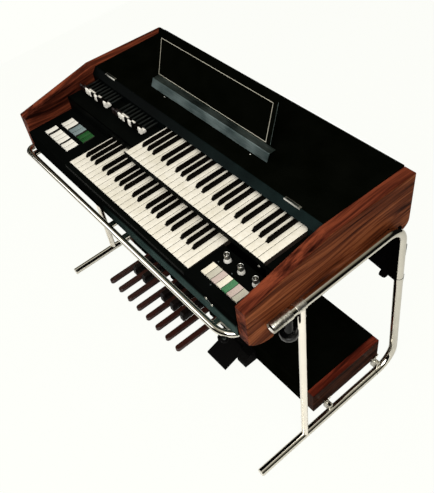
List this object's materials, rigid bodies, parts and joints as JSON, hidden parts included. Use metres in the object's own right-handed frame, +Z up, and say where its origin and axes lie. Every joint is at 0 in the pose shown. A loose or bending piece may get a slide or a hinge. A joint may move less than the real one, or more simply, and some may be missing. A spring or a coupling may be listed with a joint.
{
  "type": "electronic organ",
  "caption": "Two-manual electronic organ with drawbars, tab switches and music rest on a chrome tube stand, with bass pedals and a foot volume pedal.",
  "frame": {"origin": "on the floor under the middle of the part's bounding box", "axes": "+X to the player's right, +Y away from the player, +Z up"},
  "size_m": [1.2224, 0.6362, 1.0413],
  "materials": {
    "black_wood": "black painted board",
    "walnut": "satin walnut veneer",
    "black_vinyl": "board covered in fine-grained black vinyl",
    "grey_green_paint": "semi-gloss",
    "black_paint": "semi-gloss",
    "black_gloss": "gloss",
    "satin_aluminium": "satin",
    "chrome": "polished",
    "black_plastic": "moulded, satin",
    "black_rubber": "matte, ribbed",
    "ivory_plastic": "gloss",
    "ebony_plastic": "gloss",
    "white_plastic": "gloss",
    "brown_plastic": "gloss",
    "pedal_brown": "satin",
    "pedal_black": "satin"
  },
  "bodies": {
    "organ": {"case_shell": "black_wood", "left_cheek": "walnut", "right_cheek": "walnut", "top_panel": "black_vinyl", "fallboard": "grey_green_paint", "front_panel": "black_paint", "upper_panel": "black_paint", "music_rest_panel": "black_gloss", "music_rest_ledge": "satin_aluminium", "left_stand_frame": "chrome", "right_stand_frame": "chrome", "front_crossbar": "chrome", "pedal_box": "black_vinyl", "pedal_left_cheek": "walnut", "pedal_right_cheek": "walnut", "expression_base": "black_plastic"},
    "lower_naturals": {"lower_naturals": "ivory_plastic"},
    "lower_sharps": {"lower_sharps": "ebony_plastic"},
    "upper_naturals": {"upper_naturals": "ivory_plastic"},
    "upper_sharps": {"upper_sharps": "ebony_plastic"},
    "drawbar_01": {"drawbar_01": "brown_plastic"},
    "drawbar_02": {"drawbar_02": "brown_plastic"},
    "drawbar_03": {"drawbar_03": "white_plastic"},
    "drawbar_04": {"drawbar_04": "white_plastic"},
    "drawbar_05": {"drawbar_05": "brown_plastic"},
    "drawbar_06": {"drawbar_06": "white_plastic"},
    "drawbar_07": {"drawbar_07": "brown_plastic"},
    "drawbar_08": {"drawbar_08": "brown_plastic"},
    "drawbar_09": {"drawbar_09": "white_plastic"},
    "drawbar_10": {"drawbar_10": "brown_plastic"},
    "drawbar_11": {"drawbar_11": "brown_plastic"},
    "drawbar_12": {"drawbar_12": "white_plastic"},
    "drawbar_13": {"drawbar_13": "white_plastic"},
    "drawbar_14": {"drawbar_14": "brown_plastic"},
    "drawbar_15": {"drawbar_15": "white_plastic"},
    "drawbar_16": {"drawbar_16": "brown_plastic"},
    "drawbar_17": {"drawbar_17": "brown_plastic"},
    "drawbar_18": {"drawbar_18": "white_plastic"},
    "tabs_right": {"tabs_right": "white_plastic"},
    "tabs_left_front": {"tabs_left_front": "white_plastic"},
    "tabs_left_rear": {"tabs_left_rear": "white_plastic"},
    "rotary_knob_1": {"rotary_knob_1": "satin_aluminium"},
    "rotary_knob_2": {"rotary_knob_2": "satin_aluminium"},
    "rotary_knob_3": {"rotary_knob_3": "satin_aluminium"},
    "left_clamp_knob": {"left_clamp_knob": "black_plastic"},
    "right_clamp_knob": {"right_clamp_knob": "black_plastic"},
    "pedal_natural_1": {"pedal_natural_1": "pedal_brown"},
    "pedal_natural_2": {"pedal_natural_2": "pedal_brown"},
    "pedal_natural_3": {"pedal_natural_3": "pedal_brown"},
    "pedal_natural_4": {"pedal_natural_4": "pedal_brown"},
    "pedal_natural_5": {"pedal_natural_5": "pedal_brown"},
    "pedal_natural_6": {"pedal_natural_6": "pedal_brown"},
    "pedal_natural_7": {"pedal_natural_7": "pedal_brown"},
    "pedal_natural_8": {"pedal_natural_8": "pedal_brown"},
    "pedal_sharp_1": {"pedal_sharp_1": "pedal_black"},
    "pedal_sharp_2": {"pedal_sharp_2": "pedal_black"},
    "pedal_sharp_3": {"pedal_sharp_3": "pedal_black"},
    "pedal_sharp_4": {"pedal_sharp_4": "pedal_black"},
    "pedal_sharp_5": {"pedal_sharp_5": "pedal_black"},
    "expression_treadle": {"expression_treadle": "black_rubber"}
  },
  "joints": [
    {"name": "lower_naturals_joint", "type": "hinge", "parent": "organ", "child": "lower_naturals", "pos_m": [0.0195, -0.05712, 0.76126], "axis": [1, 0, 0], "range_deg": [0, 2.5], "stiffness_Nm_per_rad": 12, "springref_deg": -24.06},
    {"name": "lower_sharps_joint", "type": "hinge", "parent": "organ", "child": "lower_sharps", "pos_m": [0.0195, -0.05712, 0.76986], "axis": [1, 0, 0], "range_deg": [0, 2.5], "stiffness_Nm_per_rad": 5, "springref_deg": -24.06},
    {"name": "upper_naturals_joint", "type": "hinge", "parent": "organ", "child": "upper_naturals", "pos_m": [0.184, 0.06188, 0.82196], "axis": [1, 0, 0], "range_deg": [0, 2.5], "stiffness_Nm_per_rad": 12, "springref_deg": -24.06},
    {"name": "upper_sharps_joint", "type": "hinge", "parent": "organ", "child": "upper_sharps", "pos_m": [0.184, 0.06188, 0.83056], "axis": [1, 0, 0], "range_deg": [0, 2.5], "stiffness_Nm_per_rad": 5, "springref_deg": -24.06},
    {"name": "drawbar_01_joint", "type": "slide", "parent": "organ", "child": "drawbar_01", "axis": [0, 1, 0], "range_m": [0, 0.045]},
    {"name": "drawbar_02_joint", "type": "slide", "parent": "organ", "child": "drawbar_02", "axis": [0, 1, 0], "range_m": [0, 0.045]},
    {"name": "drawbar_03_joint", "type": "slide", "parent": "organ", "child": "drawbar_03", "axis": [0, 1, 0], "range_m": [0, 0.045]},
    {"name": "drawbar_04_joint", "type": "slide", "parent": "organ", "child": "drawbar_04", "axis": [0, 1, 0], "range_m": [0, 0.045]},
    {"name": "drawbar_05_joint", "type": "slide", "parent": "organ", "child": "drawbar_05", "axis": [0, 1, 0], "range_m": [0, 0.045]},
    {"name": "drawbar_06_joint", "type": "slide", "parent": "organ", "child": "drawbar_06", "axis": [0, 1, 0], "range_m": [0, 0.045]},
    {"name": "drawbar_07_joint", "type": "slide", "parent": "organ", "child": "drawbar_07", "axis": [0, 1, 0], "range_m": [0, 0.045]},
    {"name": "drawbar_08_joint", "type": "slide", "parent": "organ", "child": "drawbar_08", "axis": [0, 1, 0], "range_m": [0, 0.045]},
    {"name": "drawbar_09_joint", "type": "slide", "parent": "organ", "child": "drawbar_09", "axis": [0, 1, 0], "range_m": [0, 0.045]},
    {"name": "drawbar_10_joint", "type": "slide", "parent": "organ", "child": "drawbar_10", "axis": [0, 1, 0], "range_m": [0, 0.045]},
    {"name": "drawbar_11_joint", "type": "slide", "parent": "organ", "child": "drawbar_11", "axis": [0, 1, 0], "range_m": [0, 0.045]},
    {"name": "drawbar_12_joint", "type": "slide", "parent": "organ", "child": "drawbar_12", "axis": [0, 1, 0], "range_m": [0, 0.045]},
    {"name": "drawbar_13_joint", "type": "slide", "parent": "organ", "child": "drawbar_13", "axis": [0, 1, 0], "range_m": [0, 0.045]},
    {"name": "drawbar_14_joint", "type": "slide", "parent": "organ", "child": "drawbar_14", "axis": [0, 1, 0], "range_m": [0, 0.045]},
    {"name": "drawbar_15_joint", "type": "slide", "parent": "organ", "child": "drawbar_15", "axis": [0, 1, 0], "range_m": [0, 0.045]},
    {"name": "drawbar_16_joint", "type": "slide", "parent": "organ", "child": "drawbar_16", "axis": [0, 1, 0], "range_m": [0, 0.045]},
    {"name": "drawbar_17_joint", "type": "slide", "parent": "organ", "child": "drawbar_17", "axis": [0, 1, 0], "range_m": [0, 0.045]},
    {"name": "drawbar_18_joint", "type": "slide", "parent": "organ", "child": "drawbar_18", "axis": [0, 1, 0], "range_m": [0, 0.045]},
    {"name": "tabs_right_joint", "type": "hinge", "parent": "organ", "child": "tabs_right", "pos_m": [0.42555, -0.22937, 0.76526], "axis": [1, 0, 0], "range_deg": [-4, 4]},
    {"name": "tabs_left_front_joint", "type": "hinge", "parent": "organ", "child": "tabs_left_front", "pos_m": [-0.4101, -0.22637, 0.76526], "axis": [1, 0, 0], "range_deg": [-4, 4]},
    {"name": "tabs_left_rear_joint", "type": "hinge", "parent": "organ", "child": "tabs_left_rear", "pos_m": [-0.4048, -0.16637, 0.76526], "axis": [1, 0, 0], "range_deg": [-4, 4]},
    {"name": "rotary_knob_1_joint", "type": "hinge", "parent": "organ", "child": "rotary_knob_1", "pos_m": [0.378, -0.17912, 0.77756], "axis": [0, 0, 1], "range_deg": [-135, 135]},
    {"name": "rotary_knob_2_joint", "type": "hinge", "parent": "organ", "child": "rotary_knob_2", "pos_m": [0.432, -0.17912, 0.77756], "axis": [0, 0, 1], "range_deg": [-135, 135]},
    {"name": "rotary_knob_3_joint", "type": "hinge", "parent": "organ", "child": "rotary_knob_3", "pos_m": [0.488, -0.17912, 0.77756], "axis": [0, 0, 1], "range_deg": [-135, 135]},
    {"name": "left_clamp_knob_joint", "type": "hinge", "parent": "organ", "child": "left_clamp_knob", "pos_m": [-0.5852, -0.16622, 0.71746], "axis": [0, 0, 1], "range_deg": [-180, 180]},
    {"name": "right_clamp_knob_joint", "type": "hinge", "parent": "organ", "child": "right_clamp_knob", "pos_m": [0.5852, -0.16622, 0.71746], "axis": [0, 0, 1], "range_deg": [-180, 180]},
    {"name": "pedal_natural_1_joint", "type": "hinge", "parent": "organ", "child": "pedal_natural_1", "pos_m": [-0.397, 0.23188, 0.04126], "axis": [1, 0, 0], "range_deg": [0, 2], "stiffness_Nm_per_rad": 4, "springref_deg": -20.05},
    {"name": "pedal_natural_2_joint", "type": "hinge", "parent": "organ", "child": "pedal_natural_2", "pos_m": [-0.3333, 0.23188, 0.04126], "axis": [1, 0, 0], "range_deg": [0, 2], "stiffness_Nm_per_rad": 4, "springref_deg": -20.05},
    {"name": "pedal_natural_3_joint", "type": "hinge", "parent": "organ", "child": "pedal_natural_3", "pos_m": [-0.2696, 0.23188, 0.04126], "axis": [1, 0, 0], "range_deg": [0, 2], "stiffness_Nm_per_rad": 4, "springref_deg": -20.05},
    {"name": "pedal_natural_4_joint", "type": "hinge", "parent": "organ", "child": "pedal_natural_4", "pos_m": [-0.2059, 0.23188, 0.04126], "axis": [1, 0, 0], "range_deg": [0, 2], "stiffness_Nm_per_rad": 4, "springref_deg": -20.05},
    {"name": "pedal_natural_5_joint", "type": "hinge", "parent": "organ", "child": "pedal_natural_5", "pos_m": [-0.1422, 0.23188, 0.04126], "axis": [1, 0, 0], "range_deg": [0, 2], "stiffness_Nm_per_rad": 4, "springref_deg": -20.05},
    {"name": "pedal_natural_6_joint", "type": "hinge", "parent": "organ", "child": "pedal_natural_6", "pos_m": [-0.0785, 0.23188, 0.04126], "axis": [1, 0, 0], "range_deg": [0, 2], "stiffness_Nm_per_rad": 4, "springref_deg": -20.05},
    {"name": "pedal_natural_7_joint", "type": "hinge", "parent": "organ", "child": "pedal_natural_7", "pos_m": [-0.0148, 0.23188, 0.04126], "axis": [1, 0, 0], "range_deg": [0, 2], "stiffness_Nm_per_rad": 4, "springref_deg": -20.05},
    {"name": "pedal_natural_8_joint", "type": "hinge", "parent": "organ", "child": "pedal_natural_8", "pos_m": [0.0489, 0.23188, 0.04126], "axis": [1, 0, 0], "range_deg": [0, 2], "stiffness_Nm_per_rad": 4, "springref_deg": -20.05},
    {"name": "pedal_sharp_1_joint", "type": "hinge", "parent": "organ", "child": "pedal_sharp_1", "pos_m": [-0.36515, 0.23188, 0.04126], "axis": [1, 0, 0], "range_deg": [0, 2], "stiffness_Nm_per_rad": 4, "springref_deg": -20.05},
    {"name": "pedal_sharp_2_joint", "type": "hinge", "parent": "organ", "child": "pedal_sharp_2", "pos_m": [-0.30145, 0.23188, 0.04126], "axis": [1, 0, 0], "range_deg": [0, 2], "stiffness_Nm_per_rad": 4, "springref_deg": -20.05},
    {"name": "pedal_sharp_3_joint", "type": "hinge", "parent": "organ", "child": "pedal_sharp_3", "pos_m": [-0.17405, 0.23188, 0.04126], "axis": [1, 0, 0], "range_deg": [0, 2], "stiffness_Nm_per_rad": 4, "springref_deg": -20.05},
    {"name": "pedal_sharp_4_joint", "type": "hinge", "parent": "organ", "child": "pedal_sharp_4", "pos_m": [-0.11035, 0.23188, 0.04126], "axis": [1, 0, 0], "range_deg": [0, 2], "stiffness_Nm_per_rad": 4, "springref_deg": -20.05},
    {"name": "pedal_sharp_5_joint", "type": "hinge", "parent": "organ", "child": "pedal_sharp_5", "pos_m": [-0.04665, 0.23188, 0.04126], "axis": [1, 0, 0], "range_deg": [0, 2], "stiffness_Nm_per_rad": 4, "springref_deg": -20.05},
    {"name": "expression_treadle_joint", "type": "hinge", "parent": "organ", "child": "expression_treadle", "pos_m": [0.1725, -0.07212, 0.04926], "axis": [1, 0, 0], "range_deg": [0, 6]}
  ]
}
